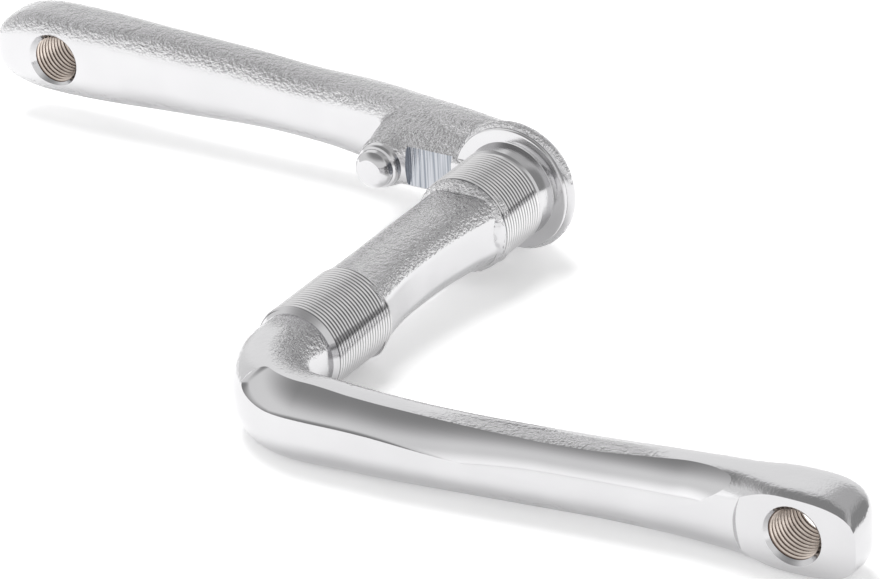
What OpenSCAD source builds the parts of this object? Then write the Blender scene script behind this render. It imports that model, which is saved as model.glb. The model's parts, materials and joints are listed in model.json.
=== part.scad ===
// One-piece crank: spindle, both arms, sprocket pin and pedal eyes in one forging.
// Y runs along the spindle axis, X along the arms, Z up; the parting plane is z = 0.
// All y values count from the middle of the waist; the finished part is moved so that
// its origin lies on the spindle axis in the middle of the sprocket seat.

/* [Throw and pedals] */
// distance from the spindle axis to each pedal axis
throw = 139.7; // [100:0.1:180]
// bore radius of the pedal holes at the thread crests
pedal_r = 5.75; // [4:0.01:8]
// radius of the chamfer mouth of the pedal holes
pedal_mouth_r = 7.05; // [5:0.05:9]
// distance between the outer faces of the two pedal eyes
tread = 145.4; // [142:0.1:152]
// outer face of the left pedal eye
left_face_y = -70.7; // [-90:0.1:-66]
// thickness of both pedal eyes between their faces
eye_t = 15.4; // [13:0.1:17]
// start of the milled face before the pedal axis
face_lead = 12.6; // [11:0.1:24]

/* [Left journal] */
// radius of the left journal over the thread crests
left_r = 11.11; // [9:0.01:13]
// outer end of the left journal
left_end_y = -46.8; // [-56:0.1:-40]
// inner end of the left journal
left_in_y = -22.7; // [-30:0.1:-15]
// height of the bevels at both ends of the journal
left_bevel = 1.2; // [0.4:0.1:2]

/* [Right journal] */
// radius of the right journal over the thread crests
right_r = 11.91; // [10:0.01:14]
// inner end of the right journal
right_in_y = 25.0; // [15:0.1:30]
// end of the right thread
thread_end_y = 40.4; // [34:0.1:43]
// radius of the runout neck behind the thread
neck_r = 11.45; // [9:0.05:12]
// length of the runout neck
neck_l = 1.4; // [0.8:0.1:2.6]
// face of the sprocket shoulder
shoulder_y = 46.8; // [45:0.1:48]
// outer radius of the turned shoulder face
shoulder_r = 15.2; // [13:0.1:16.5]
// thickness of the turned shoulder ring
shoulder_t = 2.2; // [1:0.1:3]

/* [Hub] */
// radius of the forged hub behind the shoulder
hub_r = 16.6; // [15.6:0.1:19]
// back of the hub, where the arm takes over
hub_back_y = 58.0; // [56:0.1:61]

/* [Waist] */
// half width of the forged waist between the journals
waist_x = 8.3; // [7:0.1:10]
// half height of the forged waist
waist_z = 8.7; // [7:0.1:10.2]

/* [Arms] */
// bend radius of the left arm centre line
bend_r = 19; // [14:0.5:26]
// half thickness of the arms along the spindle
arm_t = 7.2; // [5.5:0.1:8]
// half height of the arms at their slimmest
arm_h = 8.5; // [7:0.1:9.4]
// half height of the left pedal eye
left_eye_h = 10.0; // [9.6:0.1:13]
// half height of the right pedal eye
right_eye_h = 10.7; // [9.6:0.1:13]
// centre line of the left arm after its bend
left_root_y = -71.4; // [-76:0.1:-68]
// how far the right arm's centre line lies outside its inner eye face
right_root_out = 8.9; // [7:0.1:12]
// material beyond the left pedal axis
left_eye_end = 15.2; // [12:0.1:20]
// material beyond the right pedal axis
right_eye_end = 18.8; // [12:0.1:22]

/* [Ground facet] */
// radius of the ground facet along the left arm's outer shoulder
facet_r = 15.2; // [15:0.1:26]
// tilt of the facet at its lower edge
facet_low = 10; // [4:0.5:16]
// height of the facet's lower edge above the parting plane
facet_z = -1.5; // [-3:0.1:1]
// length of the facet back round the bend from the bend's end
facet_back = 17.0; // [12:0.1:24]
// length of the facet along the arm from the bend's end
facet_fore = 118; // [60:1:125]

/* [Sprocket pin] */
// distance from the spindle axis to the pin axis
pin_x = 34.7; // [30:0.1:42]
// radius of the sprocket pin
pin_r = 4.76; // [3:0.01:5.4]
// free end of the pin
pin_end_y = 39.4; // [34:0.1:42]
// face of the boss that carries the pin
pin_face_y = 44.6; // [43:0.1:47]
// radius of the boss around the pin
pin_boss_r = 6.3; // [5.8:0.1:8]

/* [Hidden] */
steel = [0.80, 0.81, 0.83];
turned = [0.88, 0.89, 0.90];
n_sec = 52;
sec_p = 2.7;
right_face_y = left_face_y + tread - eye_t;
right_root_y = right_face_y + right_root_out;
left_eye_y = left_face_y + eye_t / 2 - 0.4;
right_eye_y = right_face_y + eye_t / 2 + 0.5;
hub_y = shoulder_y + shoulder_t;
seat_mid = (thread_end_y + neck_l + shoulder_y - 0.5) / 2;
root_y = hub_back_y - 2.4;

function lerp(a, b, t) = a + (b - a) * t;
function clamp(t) = min(1, max(0, t));
function ease(t) = let (c = clamp(t)) c * c * (3 - 2 * c);
function spow(v, e) = sign(v) * pow(abs(v), e);
function sec_pt(a, hw, hh, p) = [hw * spow(cos(a), 2 / p), hh * spow(sin(a), 2 / p)];

// ring of points across a path at [x, y] that heads h degrees from +X; the outer
// upper quarter is ground back to the facet, where g says how much stock is left on it
function ring(x, y, h, hw, hh, p, dz = 0, g = 9) = [
    for (i = [0:n_sec - 1])
        let (q = sec_pt(360 * (i + 0.5) / n_sec, hw, hh, p))
        let (w = max(q[0], -facet_w(q[1], hw) - g))
        [x - w * sin(h), y + w * cos(h), q[1] + dz]
];

// how far out the facet's cylinder lies at height z on a section of half width hw
facet_zc = facet_z - facet_r * sin(facet_low);
function facet_w(z, hw) = hw - facet_r * cos(facet_low) + sqrt(max(0, facet_r * facet_r - pow(z - facet_zc, 2)));
// stock left on the facet, s is the way along the arm from the bend's end
function facet_g(s) = 1.7 * (1 - ease((s + facet_back) / 3.4)) + 1.7 * ease((s - facet_fore + 26) / 26);

// closed body through a list of rings
module loft(rings) {
    n = len(rings);
    pts = [for (r = rings) each r];
    sides = [
        for (k = [0:n - 2]) for (i = [0:n_sec - 1])
            let (j = (i + 1) % n_sec)
            [k * n_sec + j, k * n_sec + i, (k + 1) * n_sec + i, (k + 1) * n_sec + j]
    ];
    first = [[for (i = [0:n_sec - 1]) i]];
    last = [[for (i = [n_sec - 1:-1:0]) (n - 1) * n_sec + i]];
    polyhedron(points = pts, faces = concat(sides, first, last), convexity = 6);
}

// closing factor of a rounded end, u runs from 0 at the axis to 1 at the tip
function cap(u, p) = pow(max(0, 1 - pow(u, p)), 1 / p);

// left arm: neck, bend, bowed arm and eye
function left_y(x) = lerp(left_root_y, left_eye_y, ease((x - 32) / (throw - 44)));
function left_head(x) = atan((left_y(x + 1) - left_y(x - 1)) / 2);
function left_h(x) = lerp(lerp(9.4, arm_h, ease((x - 10) / 55)), left_eye_h, ease((x - 84) / (throw - 84)));
function left_t(x) = lerp(lerp(8.2, arm_t, ease((x - 10) / 60)), eye_t / 2 + 0.8, ease((x - throw + 32) / 32));
bend_y = left_root_y + bend_r;
left_rings = concat(
    [for (t = [0:3]) ring(0, lerp(left_end_y + 4, bend_y, t / 3), -90, 9.2, lerp(9.2, 9.6, t / 3), 2.3)],
    [for (a = [6:6:84])
        ring(bend_r - bend_r * cos(a), bend_y - bend_r * sin(a), a - 90,
            lerp(9.2, 8.3, a / 90), lerp(9.6, 9.5, a / 90), lerp(2.3, sec_p, a / 90),
            0, facet_g((a - 90) * (bend_r + 8) * PI / 180))],
    [for (k = [0:18]) let (x = lerp(bend_r, throw - 2, k / 18))
        ring(x, left_y(x), left_head(x), left_t(x), left_h(x), sec_p, 0, facet_g(x - bend_r))],
    [for (a = [6:12:78]) let (u = sin(a), x = throw - 2 + (left_eye_end + 2) * u)
        ring(x, left_y(x), left_head(x), left_t(x) * cap(u, 4.6), left_eye_h * cap(u, 2.5), sec_p)],
    [let (u = 0.997, x = throw - 2 + (left_eye_end + 2) * u)
        ring(x, left_y(x), left_head(x), left_t(x) * cap(u, 4.6), left_eye_h * cap(u, 2.5), sec_p)]
);

// right arm: root in the hub, joggle outwards, arm and eye
function right_y(u) = lerp(root_y, right_root_y, ease((u + 2) / 66)) + (right_eye_y - right_root_y) * ease((u - 70) / (throw - 70));
function right_head(u) = 180 - atan((right_y(u + 1) - right_y(u - 1)) / 2);
function right_h(u) = lerp(lerp(11.0, arm_h - 0.2, ease(u / 44)), right_eye_h, ease((u - 54) / (throw - 70)));
function right_t(u) = lerp(lerp(6.6, arm_t, ease(u / 36)), eye_t / 2 + 0.8, ease((u - throw + 32) / 32));
root_nose = 12;
right_rings = concat(
    [for (a = [78:-13:13]) let (s = sin(a))
        ring(root_nose * s - 4, root_y, 180, right_t(4) * cap(s, 2), right_h(4) * cap(s, 2), sec_p)],
    [for (k = [0:22]) let (u = lerp(4, throw - 2, k / 22))
        ring(-u, right_y(u), right_head(u), right_t(u), right_h(u), sec_p)],
    [for (a = [6:12:78]) let (s = sin(a), u = throw - 2 + (right_eye_end + 2) * s)
        ring(-u, right_y(u), 180, right_t(u) * cap(s, 4.6), right_eye_h * cap(s, 2.5), sec_p)],
    [let (s = 0.997, u = throw - 2 + (right_eye_end + 2) * s)
        ring(-u, right_y(u), 180, right_t(u) * cap(s, 4.6), right_eye_h * cap(s, 2.5), sec_p)]
);

// forged waist between the journals, fuller at both ends
waist_rings = [
    for (k = [0:8]) let (t = k / 8, y = lerp(left_in_y - 3, right_in_y + 3, t), e = pow(2 * t - 1, 4))
        ring(-0.8 * (1 - e), y, 90, waist_x + 1.3 * e, waist_z + 1.1 * e, 2.9, 0.7 * (1 - e))
];

// turned profile [radius, y] around the spindle axis
module about_y(profile) {
    rotate([90, 0, 0]) mirror([0, 0, 1]) rotate_extrude($fn = 96) polygon(profile);
}

module left_arm() {
    color(steel) loft(left_rings);
}

module right_arm() {
    color(steel) loft(right_rings);
}

module waist() {
    color(steel) loft(waist_rings);
}

module left_journal() {
    color(turned) about_y([
        [0, left_end_y], [left_r - left_bevel, left_end_y], [left_r, left_end_y + left_bevel],
        [left_r, left_in_y - left_bevel], [left_r - left_bevel, left_in_y], [0, left_in_y]
    ]);
}

module right_journal() {
    color(turned) about_y([
        [0, right_in_y], [right_r - 0.9, right_in_y], [right_r, right_in_y + 0.9],
        [right_r, thread_end_y], [neck_r, thread_end_y + 0.4], [neck_r, thread_end_y + neck_l - 0.4],
        [right_r, thread_end_y + neck_l], [right_r, shoulder_y],
        [shoulder_r - 0.5, shoulder_y], [shoulder_r, shoulder_y + 0.5],
        [shoulder_r, shoulder_y + shoulder_t], [0, shoulder_y + shoulder_t]
    ]);
}

// forged hub: rim behind the shoulder, then a taper that runs out under the arm
module hub() {
    color(steel) about_y([
        [0, hub_y - 1.4], [shoulder_r - 0.6, hub_y - 1.4], [shoulder_r, hub_y - 0.9],
        [hub_r - 0.5, hub_y - 0.7], [hub_r, hub_y], [hub_r - 0.2, hub_y + 1.0],
        [hub_r - 1.4, hub_y + 2.6], [hub_r - 3.4, hub_y + 4.6], [hub_r - 5.8, hub_y + 6.6],
        [hub_r - 9, hub_back_y - 0.3], [0, hub_back_y]
    ]);
}

// sprocket pin with its chamfered nose
module pin() {
    color(turned) translate([-pin_x, 0, 0]) about_y([
        [0, pin_end_y], [pin_r - 1.1, pin_end_y], [pin_r, pin_end_y + 0.9],
        [pin_r, pin_face_y + 0.5], [pin_r, pin_face_y + 3], [0, pin_face_y + 3]
    ]);
}

// forged boss that carries the pin out of the arm
module pin_boss() {
    back = right_y(pin_x);
    color(steel) translate([-pin_x, 0, 0]) about_y([
        [0, pin_face_y], [pin_boss_r - 0.6, pin_face_y], [pin_boss_r, pin_face_y + 0.6],
        [pin_boss_r + 0.2, pin_face_y + 4], [pin_boss_r + 1.4, pin_face_y + 9],
        [pin_boss_r + 2.0, back], [0, back]
    ]);
}

// web between the boss and the hub, trimmed flat at the parting line
module web() {
    front = shoulder_y + 0.7;
    back = right_y(pin_x / 2) - 1;
    color(steel) translate([-pin_x, 0, 0]) rotate([90, 0, 90]) linear_extrude(height = pin_x - 3)
        polygon([
            [front, -3.8], [front, 3.8], [front + 5, 7.4], [back, 9.0],
            [back, -9.0], [front + 5, -7.4]
        ]);
}

// tapped hole along Y at [x, y0..y1] with both mouths chamfered
module pedal_hole(x, y0, y1) {
    c = pedal_mouth_r - pedal_r;
    translate([x, 0, 0]) about_y([
        [0, y0 - 6], [pedal_mouth_r, y0 - 6], [pedal_mouth_r, y0], [pedal_r, y0 + c],
        [pedal_r, y1 - c], [pedal_mouth_r, y1], [pedal_mouth_r, y1 + 6], [0, y1 + 6]
    ]);
}

// milled flats of an eye: everything below y0 and above y1 goes
module eye_faces(x0, x1, y0, y1) {
    translate([x0, y0 - 12, -20]) cube([x1 - x0, 12, 40]);
    translate([x0, y1, -20]) cube([x1 - x0, 12, 40]);
}

module crank() {
    translate([0, -seat_mid, 0]) difference() {
        union() {
            left_arm();
            left_journal();
            waist();
            right_journal();
            hub();
            right_arm();
            pin();
            pin_boss();
            web();
        }
        eye_faces(throw - face_lead, throw + left_eye_end + 2, left_face_y, left_face_y + eye_t);
        eye_faces(-throw - right_eye_end - 2, face_lead - throw, right_face_y, right_face_y + eye_t);
        pedal_hole(throw, left_face_y, left_face_y + eye_t);
        pedal_hole(-throw, right_face_y, right_face_y + eye_t);
    }
}

crank();
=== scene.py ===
# %% [markdown]
# One-piece bicycle crank, chromed. Spindle, both arms, the sprocket pin and the pedal
# eyes are one steel forging: the bar is bent once at the left, the right arm is upset
# with a hub, then the journals are turned and threaded, the eyes are milled and tapped,
# and the whole is chrome plated. In this lesson each region of the forging is shaped on
# its own, in millimetres along the spindle, and then all of them are welded into one
# closed mesh, because the real part has no seams inside it.

# %% Load the frame
import bpy
import bmesh
import json
from math import sin, cos, atan2, pi, sqrt, radians, degrees
from mathutils import Vector, Matrix
from mathutils.noise import noise as lump

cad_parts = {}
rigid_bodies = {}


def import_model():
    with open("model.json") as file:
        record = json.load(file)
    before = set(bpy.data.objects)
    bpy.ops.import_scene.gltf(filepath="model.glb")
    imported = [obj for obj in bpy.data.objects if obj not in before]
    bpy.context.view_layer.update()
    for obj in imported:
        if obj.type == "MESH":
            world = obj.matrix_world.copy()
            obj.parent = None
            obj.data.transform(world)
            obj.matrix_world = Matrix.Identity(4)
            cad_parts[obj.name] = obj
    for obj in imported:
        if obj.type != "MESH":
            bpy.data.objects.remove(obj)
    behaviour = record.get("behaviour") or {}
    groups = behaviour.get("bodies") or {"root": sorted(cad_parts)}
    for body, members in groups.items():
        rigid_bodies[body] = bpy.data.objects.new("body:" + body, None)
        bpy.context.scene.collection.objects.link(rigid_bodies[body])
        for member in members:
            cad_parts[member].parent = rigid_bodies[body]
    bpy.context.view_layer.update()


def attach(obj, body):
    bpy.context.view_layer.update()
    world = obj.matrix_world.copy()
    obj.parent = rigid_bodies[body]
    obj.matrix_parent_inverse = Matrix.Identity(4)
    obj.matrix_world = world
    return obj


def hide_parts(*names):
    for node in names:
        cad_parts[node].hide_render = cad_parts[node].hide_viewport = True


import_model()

# %% [markdown]
# The named sizes of the crank, all in millimetres. Y counts from the middle of the
# spindle's waist, X runs along the arms and Z is up. The finished mesh is moved so that
# its origin lies in the middle of the sprocket seat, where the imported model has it.

# %% Sizes of the crank
THROW = 139.7
SEAT_MID = 44.05
LEFT_FACE, RIGHT_FACE, EYE_T = -70.7, 59.3, 15.4
FACE_LEAD = 14.0
LEFT_END, LEFT_IN, LEFT_R, LEFT_BEVEL = -46.8, -22.7, 11.11, 1.2
RIGHT_IN, THREAD_END, RIGHT_R, RIGHT_BEVEL = 25.0, 40.4, 11.91, 0.9
NECK_R, NECK_L = 11.45, 1.4
SHOULDER_Y, SHOULDER_R, SHOULDER_T = 46.8, 15.2, 2.2
HUB_R, HUB_BACK = 16.6, 58.0
BAR_R, BEND_R, BEND_T, BEND_H = 9.2, 19.0, 8.3, 9.5
ARM_T, ARM_H, ARM_POWER, EYE_POWER = 7.2, 8.5, 2.7, 3.5
LEFT_EYE_H, RIGHT_EYE_H = 10.3, 10.7
LEFT_ROOT, RIGHT_ROOT = -71.4, 68.2
BOW_START, TIP_START = 32.0, 2.0
LEFT_EYE_END, RIGHT_EYE_END = 15.2, 18.8
PIN_X, PIN_R, PIN_END, PIN_FACE, BOSS_R = 34.7, 4.76, 39.4, 44.6, 6.3
COLLAR_R = PIN_R + 0.95
SPINDLE_PITCH, THREAD_DEPTH = 25.4 / 24, 0.48
PEDAL_PITCH, PEDAL_MINOR, PEDAL_MAJOR, PEDAL_MOUTH = 1.27, 5.75, 6.30, 7.05
left_eye_mid = LEFT_FACE + EYE_T / 2 - 0.4
right_eye_mid = RIGHT_FACE + EYE_T / 2 + 0.5
hub_front = SHOULDER_Y + SHOULDER_T
root_mid = HUB_BACK - 2.4
bend_y = LEFT_ROOT + BEND_R


def lerp(a, b, t):
    return a + (b - a) * t


def ease(t):
    t = min(1.0, max(0.0, t))
    return t * t * (3 - 2 * t)


def blunt(u, p):
    """Closing factor of a rounded end: 1 at u = 0 and 0 at u = 1."""
    return max(0.0, 1 - u ** p) ** (1 / p)


print("spindle from", LEFT_ROOT, "to", round(root_mid, 1), "mm, throw", THROW)

# %% [markdown]
# Finishes. The forging is chromed all over, but the skin under the chrome differs: the
# forged skin is grainy, the outer side of the left arm is ground and polished, journals
# and pin are turned, the eyes are milled, and the pedal threads are bare steel. Each is
# one procedural material. A small class turns a node's output into something that Python
# can add and multiply, so a pattern reads like a formula.

# %% A socket that does arithmetic
class Value:
    """The output of a node; arithmetic on it adds Math nodes to the same tree."""

    def __init__(self, nodes, socket):
        self.nodes = nodes
        self.socket = socket

    def math(self, operation, first, second):
        return self.nodes.add("ShaderNodeMath", {"operation": operation}, {0: first, 1: second})

    def __add__(self, other):
        return self.math("ADD", self, other)

    def __radd__(self, other):
        return self.math("ADD", other, self)

    def __sub__(self, other):
        return self.math("SUBTRACT", self, other)

    def __rsub__(self, other):
        return self.math("SUBTRACT", other, self)

    def __mul__(self, other):
        return self.math("MULTIPLY", self, other)

    def __rmul__(self, other):
        return self.math("MULTIPLY", other, self)


class Nodes:
    """A node tree with one method that adds any node."""

    def __init__(self, owner):
        owner.use_nodes = True
        self.tree = owner.node_tree
        self.tree.nodes.clear()

    def add(self, kind, settings=None, inputs=None, output=0):
        node = self.tree.nodes.new(kind)
        for name, setting in (settings or {}).items():
            setattr(node, name, setting)
        for name, given in (inputs or {}).items():
            if isinstance(given, Value):
                self.tree.links.new(given.socket, node.inputs[name])
            else:
                node.inputs[name].default_value = given
        outs = node.outputs
        return Value(self, outs[output]) if len(outs) else node


def step(nodes, value, low, high):
    """0 below low, 1 above high, smooth between."""
    return nodes.add("ShaderNodeMapRange", {"interpolation_type": "SMOOTHSTEP"},
                     {"Value": value, "From Min": low, "From Max": high})


def noise(nodes, place, scale, detail=2.0, rough=0.5):
    return nodes.add("ShaderNodeTexNoise", {},
                     {"Vector": place, "Scale": scale, "Detail": detail, "Roughness": rough})


def streaks(nodes, place, scale):
    """Noise that is stretched along the axes where the scale is small."""
    return noise(nodes, nodes.add("ShaderNodeMapping", {}, {"Vector": place, "Scale": scale}), 1.0)


def tint(nodes, dark, light, factor):
    """A colour between two colours."""
    return nodes.add("ShaderNodeMix", {"data_type": "RGBA"},
                     {0: factor, 6: dark + (1.0,), 7: light + (1.0,)}, 2)


def finish(name, dark, light, blend, rough, height, reach):
    """Metal with a colour pattern, a roughness pattern and a relief of the given reach in metres."""
    metal = bpy.data.materials.new(name)
    nodes = Nodes(metal)
    place = nodes.add("ShaderNodeTexCoord", {}, {}, "Object")
    bump = nodes.add("ShaderNodeBump", {},
                     {"Height": height(nodes, place), "Strength": 1.0, "Distance": reach})
    skin = nodes.add("ShaderNodeBsdfPrincipled", {}, {
        "Base Color": tint(nodes, dark, light, blend(nodes, place)), "Metallic": 1.0,
        "Roughness": rough(nodes, place), "Normal": bump})
    nodes.add("ShaderNodeOutputMaterial", {}, {"Surface": skin})
    print("finish", name, "with", len(nodes.tree.nodes), "nodes")
    return metal


# %% [markdown]
# Forged skin under chrome. Steel scale and die wear leave a fine orange-peel grain about
# half a millimetre across, on top of slow swells of a centimetre or so. It is made from
# three layers of noise in the Bump height; a displaced mesh would need millions of faces.
# The flash along the sides was trimmed and sanded, so the grain fades on upright skin. The
# left arm was sanded all over, apart from the inside of its bend and a ragged band along
# the top; both are masks made from the distance to the bend's centre and from the place.

# %% Forged finish
def level_skin(nodes):
    """1 on skin that faces up or down, 0 on upright skin."""
    facing = nodes.add("ShaderNodeNewGeometry", {}, {}, "Normal")
    lean = nodes.add("ShaderNodeSeparateXYZ", {}, {0: facing}, 2)
    steep = nodes.add("ShaderNodeMath", {"operation": "ABSOLUTE"}, {0: lean})
    return step(nodes, steep, 0.18, 0.52)


def unsanded(nodes, place):
    """1 where the forged skin is left alone; most of the left arm is sanded."""
    x, y = [nodes.add("ShaderNodeSeparateXYZ", {}, {0: place}, k) for k in range(2)]
    spindle = step(nodes, y, -0.1000, -0.0930)
    centre = (BEND_R / 1000, (bend_y - SEAT_MID) / 1000, 0.0)
    away = nodes.add("ShaderNodeVectorMath", {"operation": "SUBTRACT"}, {0: place, 1: centre})
    ring = nodes.add("ShaderNodeVectorMath", {"operation": "LENGTH"}, {0: away}, "Value")
    inside_bend = (1.0 - step(nodes, ring, 0.0175, 0.0225)) * (1.0 - step(nodes, x, 0.012, 0.026))
    top_line = step(nodes, x, BOW_START / 1000, 0.1255) * 0.008 + (LEFT_ROOT - SEAT_MID) / 1000
    along = step(nodes, x, 0.040, 0.070) * (1.0 - step(nodes, x, 0.098, 0.110))
    band = step(nodes, top_line - y, -0.0022, 0.0002) * along
    return spindle + (1.0 - spindle) * (inside_bend + band * 0.8 + 0.10)


def forged_height(nodes, place):
    grain = noise(nodes, place, 1700.0, 2.0, 0.6)
    peel = noise(nodes, place, 800.0, 2.0, 0.5)
    swell = noise(nodes, place, 95.0, 1.0, 0.4)
    kept = level_skin(nodes) * unsanded(nodes, place)
    return (grain * 0.8 + peel * 0.9) * kept + swell * 0.45


def forged_rough(nodes, place):
    return noise(nodes, place, 240.0, 2.0) * 0.08 + 0.10


def cloud(nodes, place):
    return noise(nodes, place, 60.0, 2.0)


CHROME_DARK, CHROME_LIGHT = (0.555, 0.552, 0.562), (0.615, 0.612, 0.620)
forged = finish("forged_chrome", CHROME_DARK, CHROME_LIGHT, cloud, forged_rough, forged_height, 0.0006)

# %% [markdown]
# Ground and polished skin. A belt has taken the grain away, so only very faint streaks
# along the arm are left. The noise is stretched along X by a Mapping node.

# %% Ground finish
def ground_height(nodes, place):
    wave = noise(nodes, place, 70.0, 1.0)
    return streaks(nodes, place, (60.0, 900.0, 900.0)) * 0.12 + wave * 0.8


def ground_rough(nodes, place):
    return noise(nodes, place, 300.0, 2.0) * 0.05 + 0.06


ground = finish("ground_chrome", CHROME_DARK, CHROME_LIGHT, cloud, ground_rough, ground_height, 0.00003)

# %% [markdown]
# Turned and milled skin. The lathe tool leaves rings round the spindle, which is why that
# noise is read along Y only: every point of one ring gets the same height. The milling
# cutter's marks cross the eye, so they are streaks in another direction.

# %% Turned and milled finishes
def turned_height(nodes, place):
    return streaks(nodes, place, (0.0, 2600.0, 0.0))


def turned_rough(nodes, place):
    return noise(nodes, place, 500.0, 2.0) * 0.06 + 0.09


def milled_height(nodes, place):
    return streaks(nodes, place, (2400.0, 300.0, 260.0))


turned = finish("turned_chrome", CHROME_DARK, CHROME_LIGHT, cloud, turned_rough, turned_height, 0.000012)
milled = finish("milled_chrome", CHROME_DARK, CHROME_LIGHT, cloud, turned_rough, milled_height, 0.000008)

# %% [markdown]
# Striated skin. The press that trims the web tears the steel upright, and the torn lines
# are darker than the steel between them. Both the colour and the height are streaks along Z.

# %% Striated finish
STRIATED_DARK, STRIATED_LIGHT = (0.22, 0.24, 0.27), (0.46, 0.47, 0.50)


def striated_height(nodes, place):
    return streaks(nodes, place, (2100.0, 0.0, 40.0))


def striated_blend(nodes, place):
    return step(nodes, streaks(nodes, place, (1500.0, 0.0, 25.0)), 0.38, 0.58)


striated = finish("striated_chrome", STRIATED_DARK, STRIATED_LIGHT, striated_blend, turned_rough,
                  striated_height, 0.00012)

# %% [markdown]
# Threaded skin. The roots of the thread are painted dark: painted shade that stands in
# for the shade in the grooves, and the crests are a little lighter than the other chrome.
# The distance from the axis tells root from crest; the right journal is thicker than the
# left one, which is why the crest's radius depends on Y.

# %% Threaded finish
# The dark colour is painted shade for the thread roots.
THREAD_ROOT_SHADE, THREAD_LIGHT = (0.10, 0.10, 0.105), (0.66, 0.655, 0.66)


def off_axis(nodes, place, middle):
    """Distance from an axis along Y that stands middle metres off to either side."""
    parts = [nodes.add("ShaderNodeSeparateXYZ", {}, {0: place}, k) for k in range(3)]
    aside = nodes.add("ShaderNodeMath", {"operation": "ABSOLUTE"}, {0: parts[0]}) - middle
    flat = nodes.add("ShaderNodeCombineXYZ", {}, {0: aside, 2: parts[2]})
    return nodes.add("ShaderNodeVectorMath", {"operation": "LENGTH"}, {0: flat}, "Value"), parts[1]


# 0 paints the roots dark as painted shade, 1 gives the crests.
def threaded_root_shade(nodes, place):
    radius, along = off_axis(nodes, place, 0.0)
    crest = step(nodes, along, -0.060, -0.030) * ((RIGHT_R - LEFT_R) / 1000) + LEFT_R / 1000
    return 1.0 - step(nodes, crest - radius, 0.00012, 0.00040)


threaded = finish("threaded_chrome", THREAD_ROOT_SHADE, THREAD_LIGHT, threaded_root_shade, turned_rough,
                  turned_height, 0.00001)

# %% [markdown]
# Tapped skin. The pedal threads are cut after plating, so they are bare steel with a warm
# brown bloom of oil, darker in some turns than in others. The roots of the tapped thread
# are painted dark, a painted shade inside the grooves.

# %% Tapped finish
# The dark colour is the oil's brown tone and also the painted shade of the thread roots.
STEEL_OIL_AND_ROOT_SHADE, STEEL_LIGHT = (0.12, 0.085, 0.07), (0.80, 0.71, 0.64)


# The roots are painted dark as painted shade; the noise varies the brown tone of the crests.
def tapped_oil_and_root_shade(nodes, place):
    radius, _ = off_axis(nodes, place, THROW / 1000)
    crest = 1.0 - step(nodes, radius, 0.00592, 0.00618)
    return crest * (noise(nodes, place, 420.0, 3.0, 0.6) * 0.5 + 0.6)


def tapped_rough(nodes, place):
    return noise(nodes, place, 900.0, 2.0) * 0.16 + 0.24


tapped = finish("tapped_steel", STEEL_OIL_AND_ROOT_SHADE, STEEL_LIGHT, tapped_oil_and_root_shade, tapped_rough, turned_height, 0.00001)
FINISHES = [forged, ground, turned, milled, striated, threaded, tapped]
FORGED, GROUND, TURNED, MILLED, STRIATED, THREADED, TAPPED = range(7)

# %% [markdown]
# From a bmesh to an object. Every region of the forging and every cutting tool gets the
# same list of finishes, so a face keeps its finish when solids are joined or cut.

# %% Bmesh to object
def skin_all(bm, finish_index):
    for face in bm.faces:
        face.material_index = finish_index


def to_object(bm, name, finish_index):
    """Turn a bmesh into an object whose normals point outwards."""
    skin_all(bm, finish_index)
    bmesh.ops.remove_doubles(bm, verts=bm.verts[:], dist=1e-5)
    bmesh.ops.recalc_face_normals(bm, faces=bm.faces[:])
    mesh = bpy.data.meshes.new(name)
    bm.to_mesh(mesh)
    bm.free()
    for metal in FINISHES:
        mesh.materials.append(metal)
    body = bpy.data.objects.new(name, mesh)
    bpy.context.scene.collection.objects.link(body)
    return body


def new_points(made):
    """The vertices among what an operator has made."""
    return [g for g in made if isinstance(g, bmesh.types.BMVert)]


print("finishes on every body:", [metal.name for metal in FINISHES])

# %% [markdown]
# Loft. It starts from a circle of vertices, which is extruded ring by ring, and each ring
# is put in its place. An arm could also be a bevelled curve, but then its section could
# only change in size, and here it changes in shape too.

# %% Loft
def loft(sections, name, finish_index):
    """Extrude a circle of vertices from section to section; each section is a list of points."""
    bm = bmesh.new()
    ring = bmesh.ops.create_circle(bm, segments=len(sections[0]), radius=1.0)["verts"]
    edges = bm.edges[:]
    for vert, point in zip(ring, sections[0]):
        vert.co = point
    for points in sections[1:]:
        made = bmesh.ops.extrude_edge_only(bm, edges=edges)["geom"]
        fresh = set(new_points(made))
        ring = [next(e.other_vert(v) for e in v.link_edges if e.other_vert(v) in fresh) for v in ring]
        edges = [g for g in made if isinstance(g, bmesh.types.BMEdge) and fresh.issuperset(g.verts)]
        for vert, point in zip(ring, points):
            vert.co = point
    bmesh.ops.holes_fill(bm, edges=[e for e in bm.edges if e.is_boundary], sides=0)
    return to_object(bm, name, finish_index)


# %% [markdown]
# Lathe and screw. A turned body is an outline spun once round an axis along Y. A screw is
# the outline of one thread spun once while it moves one pitch along Y, and that turn is
# repeated; spinning all turns at once adds up small errors.

# %% Lathe and screw
def chain(bm, points):
    """A few vertices joined by edges, the outline that a spin starts from."""
    verts = [bm.verts.new(p) for p in points]
    edges = [bm.edges.new(pair) for pair in zip(verts, verts[1:])]
    return verts + edges


def lathe(outline, name, finish_index, x=0.0, steps=128):
    """Spin an outline of (radius, y) pairs once round the axis along Y at x."""
    bm = bmesh.new()
    geom = chain(bm, [(x, y, r) for r, y in outline])
    bmesh.ops.spin(bm, geom=geom, cent=(x, 0, 0), axis=(0, 1, 0), angle=2 * pi, steps=steps, use_merge=True)
    bmesh.ops.remove_doubles(bm, verts=bm.verts[:], dist=1e-5)
    return to_object(bm, name, finish_index)


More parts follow.
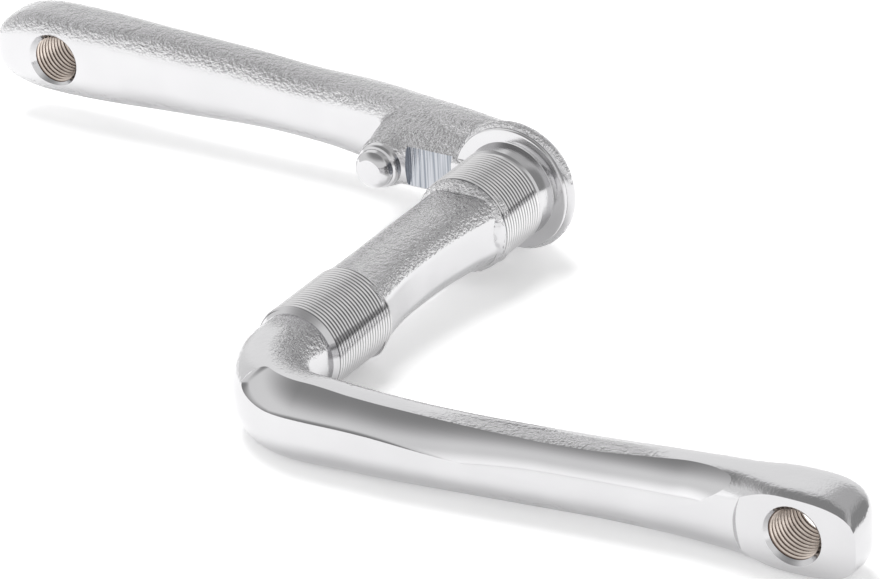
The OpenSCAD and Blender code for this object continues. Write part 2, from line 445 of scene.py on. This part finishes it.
def screw(pitch, root, crest, start, turns, name, finish_index, x, hand, steps):
    """A threaded rod along Y: a thread's outline is spun once while it moves on, then repeated."""
    bm = bmesh.new()
    tooth = [(0.0, root), (0.06, root), (0.40, crest), (0.60, crest), (0.94, root), (1.0, root)]
    geom = chain(bm, [(x, start + pitch * t, r) for t, r in tooth])
    bmesh.ops.spin(bm, geom=geom, cent=(x, 0, 0), axis=(0, 1, 0), dvec=(0, pitch / steps, 0),
                   angle=hand * 2 * pi, steps=steps, use_merge=False)
    one_turn = bm.verts[:] + bm.edges[:] + bm.faces[:]
    for k in range(1, turns):
        copied = bmesh.ops.duplicate(bm, geom=one_turn)["geom"]
        bmesh.ops.translate(bm, verts=new_points(copied), vec=(0, pitch * k, 0))
    bmesh.ops.remove_doubles(bm, verts=bm.verts[:], dist=0.01)
    rims = [e for e in bm.edges if e.is_boundary]
    middle = start + pitch * (turns + 1) / 2
    for side in (-1, 1):
        rim = [e for e in rims if (e.verts[0].co.y + e.verts[1].co.y - 2 * middle) * side > 0]
        made = bmesh.ops.extrude_edge_only(bm, edges=rim)["geom"]
        far = middle + side * (pitch * (turns + 1) / 2 + 2.0)
        bmesh.ops.pointmerge(bm, verts=new_points(made), merge_co=(x, far, 0.0))
    return to_object(bm, name, finish_index)


# %% [markdown]
# Joining and cutting. Solids meet through a Boolean modifier, as a machinist adds and
# removes stock. A count of open edges after each cut tells whether the steel is still solid.

# %% Join, cut and report
def shaped(body):
    """The mesh that the modifiers of a body make."""
    bpy.context.view_layer.update()
    return bpy.data.meshes.new_from_object(body.evaluated_get(bpy.context.evaluated_depsgraph_get()))


def combine(body, tool, operation):
    """Join, cut or intersect a body with a tool, then throw the tool away."""
    modifier = body.modifiers.new("work", "BOOLEAN")
    modifier.operation = operation
    modifier.solver = "MANIFOLD"
    modifier.object = tool
    made = shaped(body)
    old = body.data
    body.modifiers.clear()
    body.data = made
    made.name = body.name
    bpy.data.meshes.remove(old)
    bpy.data.objects.remove(tool)
    return body


def report(body):
    bm = bmesh.new()
    bm.from_mesh(body.data)
    open_edges = sum(1 for e in bm.edges if not e.is_manifold)
    volume = round(bm.calc_volume() / 1000, 2)
    print(body.name, len(bm.faces), "faces,", open_edges, "open edges,", volume, "cm3")
    bm.free()


# %% [markdown]
# The section of the forging is a rounded rectangle, drawn as a superellipse. Its points
# are spread evenly along the outline, so that polished skin reflects without ripples.

# %% Sections
AROUND, FINE = 104, 1440


def squircle(half_out, half_up, power):
    """Points (out, up) on a superellipse, evenly spaced along its outline."""
    fine = []
    for i in range(FINE):
        a = 2 * pi * i / FINE
        c, s = cos(a), sin(a)
        fine.append((half_out * abs(c) ** (2 / power) * (1 if c >= 0 else -1),
                     half_up * abs(s) ** (2 / power) * (1 if s >= 0 else -1)))
    run = [0.0]
    for p, q in zip(fine, fine[1:] + fine[:1]):
        run.append(run[-1] + sqrt((q[0] - p[0]) ** 2 + (q[1] - p[1]) ** 2))
    points, k = [], 0
    for i in range(AROUND):
        want = run[-1] * i / AROUND
        while run[k + 1] < want:
            k += 1
        t = (want - run[k]) / max(1e-9, run[k + 1] - run[k])
        p, q = fine[k], fine[(k + 1) % FINE]
        points.append((lerp(p[0], q[0], t), lerp(p[1], q[1], t)))
    return points


def section(x, y, head, half_out, half_up, power, lift=0.0):
    """A squircle across a path that heads head degrees from +X at (x, y)."""
    s, c = sin(radians(head)), cos(radians(head))
    return [(x - out * s, y + out * c, up + lift) for out, up in squircle(half_out, half_up, power)]


print("section of the arm:", len(squircle(ARM_T, ARM_H, ARM_POWER)), "points")

# %% [markdown]
# Left arm. One bar leaves the journal, turns through a right angle and runs out to
# the pedal eye in a slight bow. It is a loft along that path. The tip is closed with a
# quarter of rings that follow a blunt curve, as the die does; only its back is rounded in
# thickness, so that the milled face stays flat to the end.

# %% Course of the left arm
ROOT_T, ROOT_H = 8.2, 9.4


def left_y(x):
    return lerp(LEFT_ROOT, left_eye_mid, ease((x - BOW_START) / (THROW - 44)))


def left_head(x):
    return degrees(atan2(left_y(x + 1) - left_y(x - 1), 2))


def left_h(x):
    return lerp(lerp(ROOT_H, ARM_H, ease((x - 10) / 55)), LEFT_EYE_H, ease((x - 84) / (THROW - 84)))


def eye_swell(x):
    """0 along the arm, 1 at the eye, where the section is fuller and boxier."""
    return ease((x - THROW + 16) / 13)


def left_t(x):
    along = lerp(ROOT_T, ARM_T, ease((x - 10) / 60))
    return lerp(along, EYE_T / 2 + 0.6, ease((x - THROW + 32) / 32)) + 1.3 * eye_swell(x)


def bent(a):
    """Middle of the bar after a degrees of the bend."""
    return BEND_R * (1 - cos(radians(a))), bend_y - BEND_R * sin(radians(a))


def bend_t(a):
    return lerp(BAR_R, BEND_T, a / 90)


def after_bend(x):
    return ease((x - BEND_R) / 12)


print("left arm at its slimmest:", round(min(left_t(x) for x in range(20, 130)) * 2, 1), "mm thick")

# %% Left arm
def tip_steps(count=30):
    return [sin(radians(89.6 * i / count)) for i in range(1, count + 1)]


def left_arm_sections():
    rings = []
    for i in range(12):
        t = i / 12
        rings.append(section(0, lerp(LEFT_END + 4, bend_y, t), -90, BAR_R, lerp(BAR_R, 9.6, t), 2.3))
    for i in range(37):
        a = 90 * i / 36
        t = a / 90
        rings.append(section(*bent(a), a - 90, bend_t(a), lerp(9.6, BEND_H, t), lerp(2.3, ARM_POWER, t)))
    for i in range(1, 131):
        x = lerp(BEND_R, THROW - TIP_START, i / 130)
        soft = after_bend(x)
        rings.append(section(x, left_y(x), left_head(x), lerp(BEND_T, left_t(x), soft),
                             lerp(BEND_H, left_h(x), soft), lerp(ARM_POWER, EYE_POWER, eye_swell(x))))
    for u in tip_steps():
        x = THROW - TIP_START + (LEFT_EYE_END + TIP_START) * u
        half = left_t(x) * blunt(u, 3.6)
        rings.append(section(x, left_y(x) - left_t(x) + half, 0, half, LEFT_EYE_H * blunt(u, 3.0), EYE_POWER))
    return rings


left_arm = loft(left_arm_sections(), "left_arm", FORGED)
report(left_arm)

# %% [markdown]
# Ground facet. A belt has taken the upper outer shoulder of the left arm down to a
# gently rounded face. On the bend it ends in a teardrop, with a hollow wall where the belt
# went in, and its lower edge is a fine step that fades out along the arm. The belt is
# modelled as a tool: a loft whose inner side is the ground surface.

# %% Surface of the facet
FACET_BEND_R, FACET_ARM_R = 15.2, 12.4
FACET_BACK, FACET_FORE, DROP_L = 17.6, 118.0, 11.5
EDGE_R, HOLLOW_R, START_STOCK, RUN_OUT = 0.7, 2.2, 1.25, 5.2
DROP_Z, DROP_DOWN, DROP_UP = 6.3, 2.9, 9.0


def ground_arc(z, radius, lean, touch):
    """Depth of the ground arc, which leans by a few degrees where it touches the skin."""
    up = z - touch + radius * sin(radians(lean))
    return sqrt(max(1.0, radius ** 2 - up ** 2)) - radius * cos(radians(lean))


def facet_arc(s, z):
    """Steep and low in the bend, flatter and higher along the arm."""
    in_bend, on_arm = ground_arc(z, FACET_BEND_R, 10.0, -1.5), ground_arc(z, FACET_ARM_R, 4.0, 0.0)
    return lerp(in_bend, on_arm, ease((s - 22) / 40))


def wall(depth, radius):
    """How far the hollow wall stands above the ground face at a depth inside its edge."""
    if depth >= radius:
        return 0.0
    if depth < 0:
        return min(4.5, radius - depth * 4)
    return radius - sqrt(radius ** 2 - (radius - depth) ** 2)


def facet_stock(s, z):
    """Steel left on the ground arc: by the shallow start, the run-out and the edge's wall."""
    start = START_STOCK * (1 - ease((s - 18) / 42))
    low = lerp(3.4, -0.4, ease((s - 14) / 42))
    edge = wall(z - low, EDGE_R)
    drop = FACET_BACK - DROP_L
    if s < -drop:
        reach = DROP_DOWN if z < DROP_Z else DROP_UP
        a, b = (-drop - s) / DROP_L, (z - DROP_Z) / reach
        q = max(1e-4, sqrt(a * a + b * b))
        slope = sqrt((a / DROP_L) ** 2 + (b / reach) ** 2) / q
        radius = HOLLOW_R if z > DROP_Z else lerp(EDGE_R, HOLLOW_R, a / q)
        edge = wall((1 - q) / slope, radius)
    return start + edge + RUN_OUT * max(0.0, (s - 92) / 26) ** 1.6


print("facet's depth at mid arm, 6 mm up:", round(-facet_arc(60, 6.0), 2), "mm")

# %% Ground facet
BELT_LOW, BELT_HIGH, BELT_T = -3.6, 10.8, 14.0


def belt_section(x, y, head, half_out, s):
    """Inner side: the ground arc from low to high; outer side: well clear of the arm."""
    arc = []
    for i in range(79):
        z = lerp(BELT_LOW, BELT_HIGH, i / 78)
        arc.append((half_out + facet_arc(s, z) + facet_stock(s, z), z))
    loop = arc + [(half_out + BELT_T, z) for z in (BELT_HIGH, 4.0, BELT_LOW)]
    sn, cs = sin(radians(head)), cos(radians(head))
    return [(x + out * sn, y - out * cs, up) for out, up in loop]


def belt_sections():
    """s is the length along the ground face, counted from the end of the bend."""
    rings = []
    for i in range(81):
        a = lerp(49, 90, i / 80)
        rings.append(belt_section(*bent(a), a - 90, bend_t(a), radians(a - 90) * (BEND_R + 8)))
    for i in range(1, 111):
        x = lerp(BEND_R, BEND_R + FACET_FORE + 4, i / 110)
        half_out = lerp(BEND_T, left_t(x), after_bend(x))
        rings.append(belt_section(x, left_y(x), left_head(x), half_out, x - BEND_R))
    return rings


belt = loft(belt_sections(), "belt", GROUND)
report(belt)
left_arm = combine(left_arm, belt, "DIFFERENCE")
report(left_arm)

# %% [markdown]
# Pedal eyes. Both faces of an eye are milled flat with a round cutter, the hole's mouths
# are chamfered, and a half-inch thread with 20 turns to the inch is tapped: left-hand in
# the left arm, right-hand in the right one. Cutter, tap and sink are closed solids that
# are cut away from the arm, so each leaves its own finish behind.

# %% Milling cutter, tap and sink
def slab(x0, x1, y0, y1, z0, z1, name, finish_index):
    bm = bmesh.new()
    bmesh.ops.create_cube(bm, size=1.0)
    bmesh.ops.scale(bm, verts=bm.verts, vec=(x1 - x0, y1 - y0, z1 - z0))
    bmesh.ops.translate(bm, verts=bm.verts, vec=((x0 + x1) / 2, (y0 + y1) / 2, (z0 + z1) / 2))
    return to_object(bm, name, finish_index)


CUT_L, CUT_T, CUT_H = 30.0, 12.0, 20.0


def work_eye(arm, x, face, toward, hand):
    """Mill both faces of an eye and put the chamfered, tapped hole through it."""
    near, far = sorted((x, x + toward * CUT_L))
    for start in (face - CUT_T, face + EYE_T):
        combine(arm, slab(near, far, start, start + CUT_T, -CUT_H, CUT_H, "mill", MILLED), "DIFFERENCE")
        disc = [(0, start), (FACE_LEAD, start), (FACE_LEAD, start + CUT_T), (0, start + CUT_T)]
        combine(arm, lathe(disc, "mill", MILLED, x), "DIFFERENCE")
    tap = screw(PEDAL_PITCH, PEDAL_MINOR, PEDAL_MAJOR, face - 3 * PEDAL_PITCH, 17, "tap", TAPPED, x, hand, 72)
    combine(arm, tap, "DIFFERENCE")
    deep = PEDAL_MOUTH - PEDAL_MINOR + 1.0
    for y, way in ((face, 1), (face + EYE_T, -1)):
        cone = [(0, y - way * 4), (PEDAL_MOUTH, y - way * 4), (PEDAL_MOUTH, y),
                (PEDAL_MINOR - 1.0, y + way * deep), (0, y + way * deep)]
        combine(arm, lathe(cone, "sink", TURNED, x, 96), "DIFFERENCE")
    report(arm)


work_eye(left_arm, THROW, LEFT_FACE, 1, -1)

# %% [markdown]
# Journals. Both bearing journals are turned, bevelled at their ends and threaded with 24
# turns to the inch. The thread is a true helix: a screw rod cut to the turned envelope.

# %% Journals
def journal(name, radius, start, turns, hand, blank):
    """A threaded rod cut to the outline of a turned blank."""
    rod = screw(SPINDLE_PITCH, radius - THREAD_DEPTH, radius, start, turns, name, THREADED, 0, hand, 112)
    combine(rod, lathe(blank, "blank", TURNED), "INTERSECT")
    report(rod)
    return rod


left_over, right_over = LEFT_R + 0.02, RIGHT_R + 0.02
left_journal = journal("left_journal", LEFT_R, LEFT_END - 2.6, 28, -1, [
    (0, LEFT_END), (LEFT_R - LEFT_BEVEL, LEFT_END), (left_over, LEFT_END + LEFT_BEVEL),
    (left_over, LEFT_IN - LEFT_BEVEL), (LEFT_R - LEFT_BEVEL, LEFT_IN), (0, LEFT_IN)])
right_journal = journal("right_journal", RIGHT_R, RIGHT_IN - 2.4, 18, 1, [
    (0, RIGHT_IN), (RIGHT_R - RIGHT_BEVEL, RIGHT_IN), (right_over, RIGHT_IN + RIGHT_BEVEL),
    (right_over, THREAD_END), (0, THREAD_END)])

# %% [markdown]
# Waist. Between the journals the forging keeps its skin. It is fuller at both ends, most
# of all towards the right thread, and its sides are trimmed flat where the dies met. Where
# the right thread begins, the turning tool has left a rough ledge of forged skin.

# %% Waist
WAIST_T, WAIST_H, WAIST_POWER = 8.3, 8.7, 2.9


def waist_sections():
    rings = []
    for i in range(61):
        t = i / 60
        end = (2 * t - 1) ** 4
        full = 0.5 + 1.3 * ease((t - 0.45) / 0.5) + 0.5 * ease((0.35 - t) / 0.3)
        half_out = WAIST_T + 1.3 * end + full / 2
        half_up = WAIST_H + 1.1 * end + 0.15 * full
        mid, lift = -0.8 * (1 - end) + full / 2, 0.7 * (1 - end) - 0.15 * full
        ring = section(mid, lerp(LEFT_IN - 3, RIGHT_IN + 3, t), 90, half_out, half_up, WAIST_POWER, lift)
        flat = half_out - 0.3
        rings.append([(min(mid + flat, max(mid - flat, p[0])), p[1], p[2]) for p in ring])
    return rings


LEDGE_START, LEDGE_TOP, LEDGE_END = 21.8, 24.9, 25.5


def ledge():
    """A lathe ring of forged skin, made uneven by pushing its vertices in and out."""
    rise = [(lerp(9.0, 11.7, ease(t)), lerp(LEDGE_START + 0.2, LEDGE_TOP, t))
            for t in (k / 12 for k in range(13))]
    outline = [(0, LEDGE_START)] + rise + [(11.6, LEDGE_END), (0, LEDGE_END)]
    ring = lathe(outline, "ledge", FORGED, steps=150)
    for vert in ring.data.vertices:
        push = lump(vert.co * 0.9) * 0.5 + lump(vert.co * 2.3) * 0.28
        out = Vector((vert.co.x, 0, vert.co.z))
        if out.length > 8.0:
            vert.co += out.normalized() * push * 0.7
            vert.co.y += push * 0.9
    return ring


waist = loft(waist_sections(), "waist", FORGED)
report(waist)
waist_ledge = ledge()
report(waist_ledge)

# %% [markdown]
# Sprocket seat. Behind the right thread come a runout neck, the smooth seat that centres
# the sprocket, and the bright ring of the shoulder that it is clamped against.

# %% Seat and shoulder
NECK_END = THREAD_END + NECK_L
seat = lathe([
    (0, THREAD_END - 1), (RIGHT_R - 0.5, THREAD_END - 1), (RIGHT_R - 0.46, THREAD_END),
    (NECK_R, THREAD_END + 0.35), (NECK_R, NECK_END - 0.4), (RIGHT_R - 0.12, NECK_END - 0.05),
    (RIGHT_R, NECK_END + 0.1), (RIGHT_R, SHOULDER_Y - 0.25), (RIGHT_R + 0.1, SHOULDER_Y - 0.07),
    (RIGHT_R + 0.3, SHOULDER_Y), (SHOULDER_R - 0.5, SHOULDER_Y), (SHOULDER_R - 0.15, SHOULDER_Y + 0.13),
    (SHOULDER_R, SHOULDER_Y + 0.5), (SHOULDER_R, hub_front), (0, hub_front)], "seat", TURNED, steps=144)
report(seat)

# %% [markdown]
# Right arm. It grows out of the hub behind the shoulder and swings outwards in a joggle.
# It is lofted as the left arm is, here with u as the distance from the spindle's axis.

# %% Right arm
RIGHT_ROOT_T, RIGHT_ROOT_H = 6.6, 11.2
RIGHT_EYE_POWER, RIGHT_TIP_POWER = 3.4, 2.8


def right_y(u):
    joggle = lerp(root_mid, RIGHT_ROOT, ease((u + 2) / 66))
    return joggle + (right_eye_mid - RIGHT_ROOT) * ease((u - 70) / (THROW - 70))


def right_head(u):
    return 180 - degrees(atan2(right_y(u + 1) - right_y(u - 1), 2))


def right_h(u):
    along = lerp(RIGHT_ROOT_H, ARM_H - 0.2, ease((u - 14) / 66))
    return lerp(along, RIGHT_EYE_H, ease((u - 58) / (THROW - 74)))


def right_drop(u):
    """The arm hangs a little lower beside the pin."""
    return -0.9 * ease((u - 15) / 25) * (1 - ease((u - 58) / 30))


def right_t(u):
    return lerp(lerp(RIGHT_ROOT_T, ARM_T, ease(u / 36)), EYE_T / 2 + 0.8, ease((u - THROW + 32) / 32))


def right_arm_sections():
    rings = []
    for u in reversed(tip_steps(20)):
        short = blunt(u, 2)
        rings.append(section(12 * u - 4, root_mid, 180, right_t(4) * short, right_h(4) * short, ARM_POWER))
    for i in range(151):
        u = lerp(4, THROW - TIP_START, i / 150)
        power = lerp(ARM_POWER, RIGHT_EYE_POWER, ease((u - THROW + 30) / 22))
        rings.append(section(-u, right_y(u), right_head(u), right_t(u), right_h(u), power, right_drop(u)))
    for s in tip_steps():
        u = THROW - TIP_START + (RIGHT_EYE_END + TIP_START) * s
        half_up = RIGHT_EYE_H * blunt(s, RIGHT_TIP_POWER)
        rings.append(section(-u, right_y(u), 180, right_t(u) * blunt(s, 5.5), half_up, RIGHT_EYE_POWER))
    return rings


right_arm = loft(right_arm_sections(), "right_arm", FORGED)
report(right_arm)

# %% [markdown]
# Hub, boss and web. The arm's root is a round hub, and a boss beside it carries the
# sprocket pin, with a web that ties the boss back to the hub. Hub and boss are lathe
# outlines and the web is a short loft; all are joined with the arm.

# %% Hub, boss and web
def web_sections():
    front, back = SHOULDER_Y - 0.9, right_y(PIN_X / 2) - 1
    outline = ((front, -4.4), (front, 4.4), (front + 5, 7.6), (back, 9.6), (back, -9.6), (front + 5, -7.6))
    return [[(x, y, z) for y, z in outline] for x in (-PIN_X, -3.0)]


hub = lathe([
    (0, hub_front - 1.4), (SHOULDER_R - 0.6, hub_front - 1.4), (SHOULDER_R, hub_front - 0.9),
    (HUB_R - 0.5, hub_front - 0.7), (HUB_R, hub_front), (HUB_R - 0.2, hub_front + 1.0),
    (HUB_R - 1.4, hub_front + 2.6), (HUB_R - 3.4, hub_front + 4.6), (HUB_R - 5.8, hub_front + 6.6),
    (HUB_R - 9, HUB_BACK - 0.3), (0, HUB_BACK)], "hub", FORGED)
boss = lathe([
    (0, PIN_FACE), (BOSS_R - 0.6, PIN_FACE), (BOSS_R, PIN_FACE + 0.6), (BOSS_R + 0.2, PIN_FACE + 4),
    (BOSS_R + 1.4, PIN_FACE + 9), (BOSS_R + 2.0, right_y(PIN_X)), (0, right_y(PIN_X))],
    "boss", FORGED, -PIN_X)
combine(right_arm, hub, "UNION")
combine(right_arm, boss, "UNION")
combine(right_arm, loft(web_sections(), "web", FORGED), "UNION")
report(right_arm)

# %% [markdown]
# One skin for the right arm. The four bodies are one forging, so they are remeshed to one
# skin and smoothed, which rounds every inner corner as the die radius does. The web's front
# is trimmed in a press, which leaves upright striations, and the eye is milled and tapped.

# %% One skin, trimmed and milled
def reskin(body, voxel, passes):
    """Remesh to one even skin and relax it, which rounds the inner corners."""
    remesh = body.modifiers.new("skin", "REMESH")
    remesh.mode = "VOXEL"
    remesh.voxel_size = voxel
    made = shaped(body)
    body.modifiers.clear()
    bm = bmesh.new()
    bm.from_mesh(made)
    for _ in range(passes):
        bmesh.ops.smooth_vert(bm, verts=bm.verts[:], factor=0.5,
                              use_axis_x=True, use_axis_y=True, use_axis_z=True)
    bmesh.ops.recalc_face_normals(bm, faces=bm.faces[:])
    skin_all(bm, FORGED)
    bm.to_mesh(body.data)
    bm.free()
    bpy.data.meshes.remove(made)
    return body


VOXEL, RELAX = 0.62, 7
reskin(right_arm, VOXEL, RELAX)
trim_from, trim_to = -PIN_X + BOSS_R + 0.2, -SHOULDER_R - 0.4
trim = slab(trim_from, trim_to, 40, SHOULDER_Y + 0.2, -7, 7, "trim", STRIATED)
combine(right_arm, trim, "DIFFERENCE")
report(right_arm)
work_eye(right_arm, -THROW, RIGHT_FACE, -1, 1)

# %% [markdown]
# Sprocket pin. A turned stud stands on the boss and drives the sprocket. Its nose is
# chamfered so that the sprocket's hole finds it, and a bright collar ends the turning.

# %% Sprocket pin
pin = lathe([
    (0, PIN_END), (PIN_R - 1.75, PIN_END), (PIN_R - 1.45, PIN_END + 0.10), (PIN_R - 0.35, PIN_END + 1.15),
    (PIN_R - 0.08, PIN_END + 1.55), (PIN_R, PIN_END + 2.0), (PIN_R, PIN_FACE - 2.0),
    (PIN_R + 0.05, PIN_FACE - 1.85), (PIN_R + 0.55, PIN_FACE - 1.6), (PIN_R + 0.8, PIN_FACE - 1.2),
    (PIN_R + 0.85, PIN_FACE - 0.6), (COLLAR_R, PIN_FACE + 0.3), (COLLAR_R, PIN_FACE + 3), (0, PIN_FACE + 3)],
    "pin", TURNED, -PIN_X, 96)
report(pin)

# %% [markdown]
# Welding. All regions are joined into the one solid that the forging is. Edges where two
# finishes meet, and edges sharper than 30 degrees, stay crisp; the rest shades smoothly.

# %% Joined regions
crank = left_arm
for region in (left_journal, waist, waist_ledge, right_journal, seat, right_arm, pin):
    combine(crank, region, "UNION")
crank.name = "one_piece_crank"
report(crank)

# %% One forging
CRISP = radians(30)


def settle(body):
    """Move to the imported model's origin, in metres, and mark the crisp edges."""
    bm = bmesh.new()
    bm.from_mesh(body.data)
    bmesh.ops.remove_doubles(bm, verts=bm.verts[:], dist=2e-4)
    bmesh.ops.dissolve_degenerate(bm, edges=bm.edges[:], dist=1e-4)
    bmesh.ops.translate(bm, verts=bm.verts, vec=(0, -SEAT_MID, 0))
    bmesh.ops.scale(bm, verts=bm.verts, vec=(0.001, 0.001, 0.001))
    for face in bm.faces:
        face.smooth = True
    for edge in bm.edges:
        faces = edge.link_faces
        mixed = len(faces) == 2 and faces[0].material_index != faces[1].material_index
        edge.smooth = not (mixed or edge.calc_face_angle(0.0) > CRISP)
    open_edges = sum(1 for e in bm.edges if not e.is_manifold)
    triangles = sum(len(f.verts) - 2 for f in bm.faces)
    bm.to_mesh(body.data)
    bm.free()
    print(body.name, triangles, "triangles,", open_edges, "open edges")


settle(crank)
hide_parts("crank")
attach(crank, "root")

# %% [markdown]
# Floor. The crank lies on three points: the rim of the hub, the underside of the bend and
# the underside of the left eye. A pale plane a hair below those points carries it, so it
# leans a little against the spindle. The camera and the chrome see it with a faint glow of
# its own, which makes it white where no shadow falls.

# %% Floor
FLOOR_Z, FLOOR_ALONG_X, FLOOR_ALONG_Y = -0.0139, -0.003, -0.059
hub_rim_y = (hub_front - SEAT_MID) / 1000


def floor_height(x, y):
    return FLOOR_Z + FLOOR_ALONG_X * x + FLOOR_ALONG_Y * (y + SEAT_MID / 1000)


def make_floor():
    bm = bmesh.new()
    bmesh.ops.create_grid(bm, x_segments=2, y_segments=2, size=4.0)
    for vert in bm.verts:
        vert.co.z = floor_height(vert.co.x, vert.co.y)
    mesh = bpy.data.meshes.new("studio_floor")
    bm.to_mesh(mesh)
    bm.free()
    plane = bpy.data.objects.new("studio_floor", mesh)
    bpy.context.scene.collection.objects.link(plane)
    return plane


# %% Floor's colour
def pale_floor():
    pale = bpy.data.materials.new("pale_floor")
    nodes = Nodes(pale)
    camera_ray = nodes.add("ShaderNodeLightPath", {}, {}, "Is Camera Ray")
    glossy_ray = nodes.add("ShaderNodeLightPath", {}, {}, "Is Glossy Ray")
    plain = nodes.add("ShaderNodeBsdfDiffuse", {}, {"Color": (0.86, 0.86, 0.86, 1.0)})
    glow = nodes.add("ShaderNodeEmission", {}, {"Color": (1.0, 1.0, 1.0, 1.0), "Strength": 0.26})
    lit = nodes.add("ShaderNodeBsdfDiffuse", {}, {"Color": (1.0, 1.0, 1.0, 1.0)})
    seen = nodes.add("ShaderNodeAddShader", {}, {0: lit, 1: glow})
    both = nodes.add("ShaderNodeMixShader", {}, {0: camera_ray + glossy_ray, 1: plain, 2: seen})
    nodes.add("ShaderNodeOutputMaterial", {}, {"Surface": both})
    return pale


floor = make_floor()
floor.data.materials.append(pale_floor())
print("floor under the hub at", round(floor_height(0, hub_rim_y) * 1000, 2), "mm")

# %% [markdown]
# Studio light. Chrome shows its surroundings, so the light is a room: a pale wall all
# round, a large white panel at the front left, another at the back left, a darker ceiling
# and two grey flags at the back, the darker one to the right. The world is painted from the
# direction of each ray, and the camera itself sees plain white.

# %% Studio room
FRONT_PANEL = ((-0.50, -0.86, -0.17), 36, 6, 1.70)
BACK_PANEL = ((-0.47, 0.77, 0.43), 34, 17, 1.14)
HIGH_FLAG = ((0.05, 0.75, 0.66), 24, 10, 0.62)
RIGHT_FLAG = ((0.60, 0.77, 0.21), 34, 16, 0.36)


def panel(nodes, way, toward, outer, inner):
    """1 within inner degrees of a direction, 0 outside outer degrees."""
    along = nodes.add("ShaderNodeVectorMath", {"operation": "DOT_PRODUCT"},
                      {0: way, 1: Vector(toward).normalized()}, "Value")
    return step(nodes, along, cos(radians(outer)), cos(radians(inner)))


def paint_room():
    room = bpy.data.worlds.new("studio_room")
    bpy.context.scene.world = room
    nodes = Nodes(room)
    way = nodes.add("ShaderNodeTexCoord", {}, {}, "Generated")
    height = nodes.add("ShaderNodeSeparateXYZ", {}, {0: way}, 2)
    level = 1.0 - step(nodes, height, 0.50, 0.90) * 0.66
    for toward, outer, inner, target in (FRONT_PANEL, BACK_PANEL, HIGH_FLAG, RIGHT_FLAG):
        mask = panel(nodes, way, toward, outer, inner)
        level = level + (target - level) * mask
    camera_ray = nodes.add("ShaderNodeLightPath", {}, {}, "Is Camera Ray")
    level = level + (1.0 - level) * camera_ray
    light = nodes.add("ShaderNodeBackground", {}, {"Color": (1.0, 1.0, 1.0, 1.0), "Strength": level})
    nodes.add("ShaderNodeOutputWorld", {}, {"Surface": light})
    print("studio room with", len(nodes.tree.nodes), "nodes")


paint_room()

# %% Lamp
LAMP_PLACE, LAMP_SIZE, LAMP_POWER = (-0.45, 0.35, 1.15), 0.9, 13.0


def hang_lamp():
    """A large soft lamp above and behind the left; it gives the shadows their side."""
    light = bpy.data.lights.new("soft_lamp", "AREA")
    light.shape = "DISK"
    light.size = LAMP_SIZE
    light.energy = LAMP_POWER
    lamp = bpy.data.objects.new("soft_lamp", light)
    lamp.location = LAMP_PLACE
    lamp.rotation_euler = Vector(lamp.location).to_track_quat("Z", "Y").to_euler()
    lamp.visible_glossy = False
    bpy.context.scene.collection.objects.link(lamp)
    print("lamp of", LAMP_POWER, "W at", LAMP_PLACE)


hang_lamp()

# %% [markdown]
# Camera. It has the photograph's viewing angle: a long lens, 33 degrees round to the right
# of the spindle's left end and 27 degrees up, with a slight roll. The focal length was
# measured in pixels, so it is turned into millimetres by the width of the picture.

# %% Camera
PICTURE_WIDTH_PX, FOCAL_PX = 880, 6243.14
CAMERA_PLACE = (0.70268, -1.12052, 0.64586)
CAMERA_RIGHT = (0.8524, 0.5208, -0.0471)
CAMERA_UP = (-0.2001, 0.4081, 0.8907)
CAMERA_BACK = (0.4831, -0.7498, 0.4521)


def place_camera():
    lens = bpy.data.cameras.new("camera")
    lens.sensor_width = 36.0
    lens.lens = FOCAL_PX / PICTURE_WIDTH_PX * lens.sensor_width
    lens.clip_end = 20.0
    camera = bpy.data.objects.new("camera", lens)
    bpy.context.scene.collection.objects.link(camera)
    axes = Matrix((CAMERA_RIGHT, CAMERA_UP, CAMERA_BACK)).transposed()
    turn = axes.to_quaternion().to_matrix().to_4x4()
    camera.matrix_world = Matrix.Translation(CAMERA_PLACE) @ turn
    bpy.context.scene.camera = camera
    print("lens of", round(lens.lens), "mm at", CAMERA_PLACE)


place_camera()
bpy.context.scene.view_settings.view_transform = "Standard"
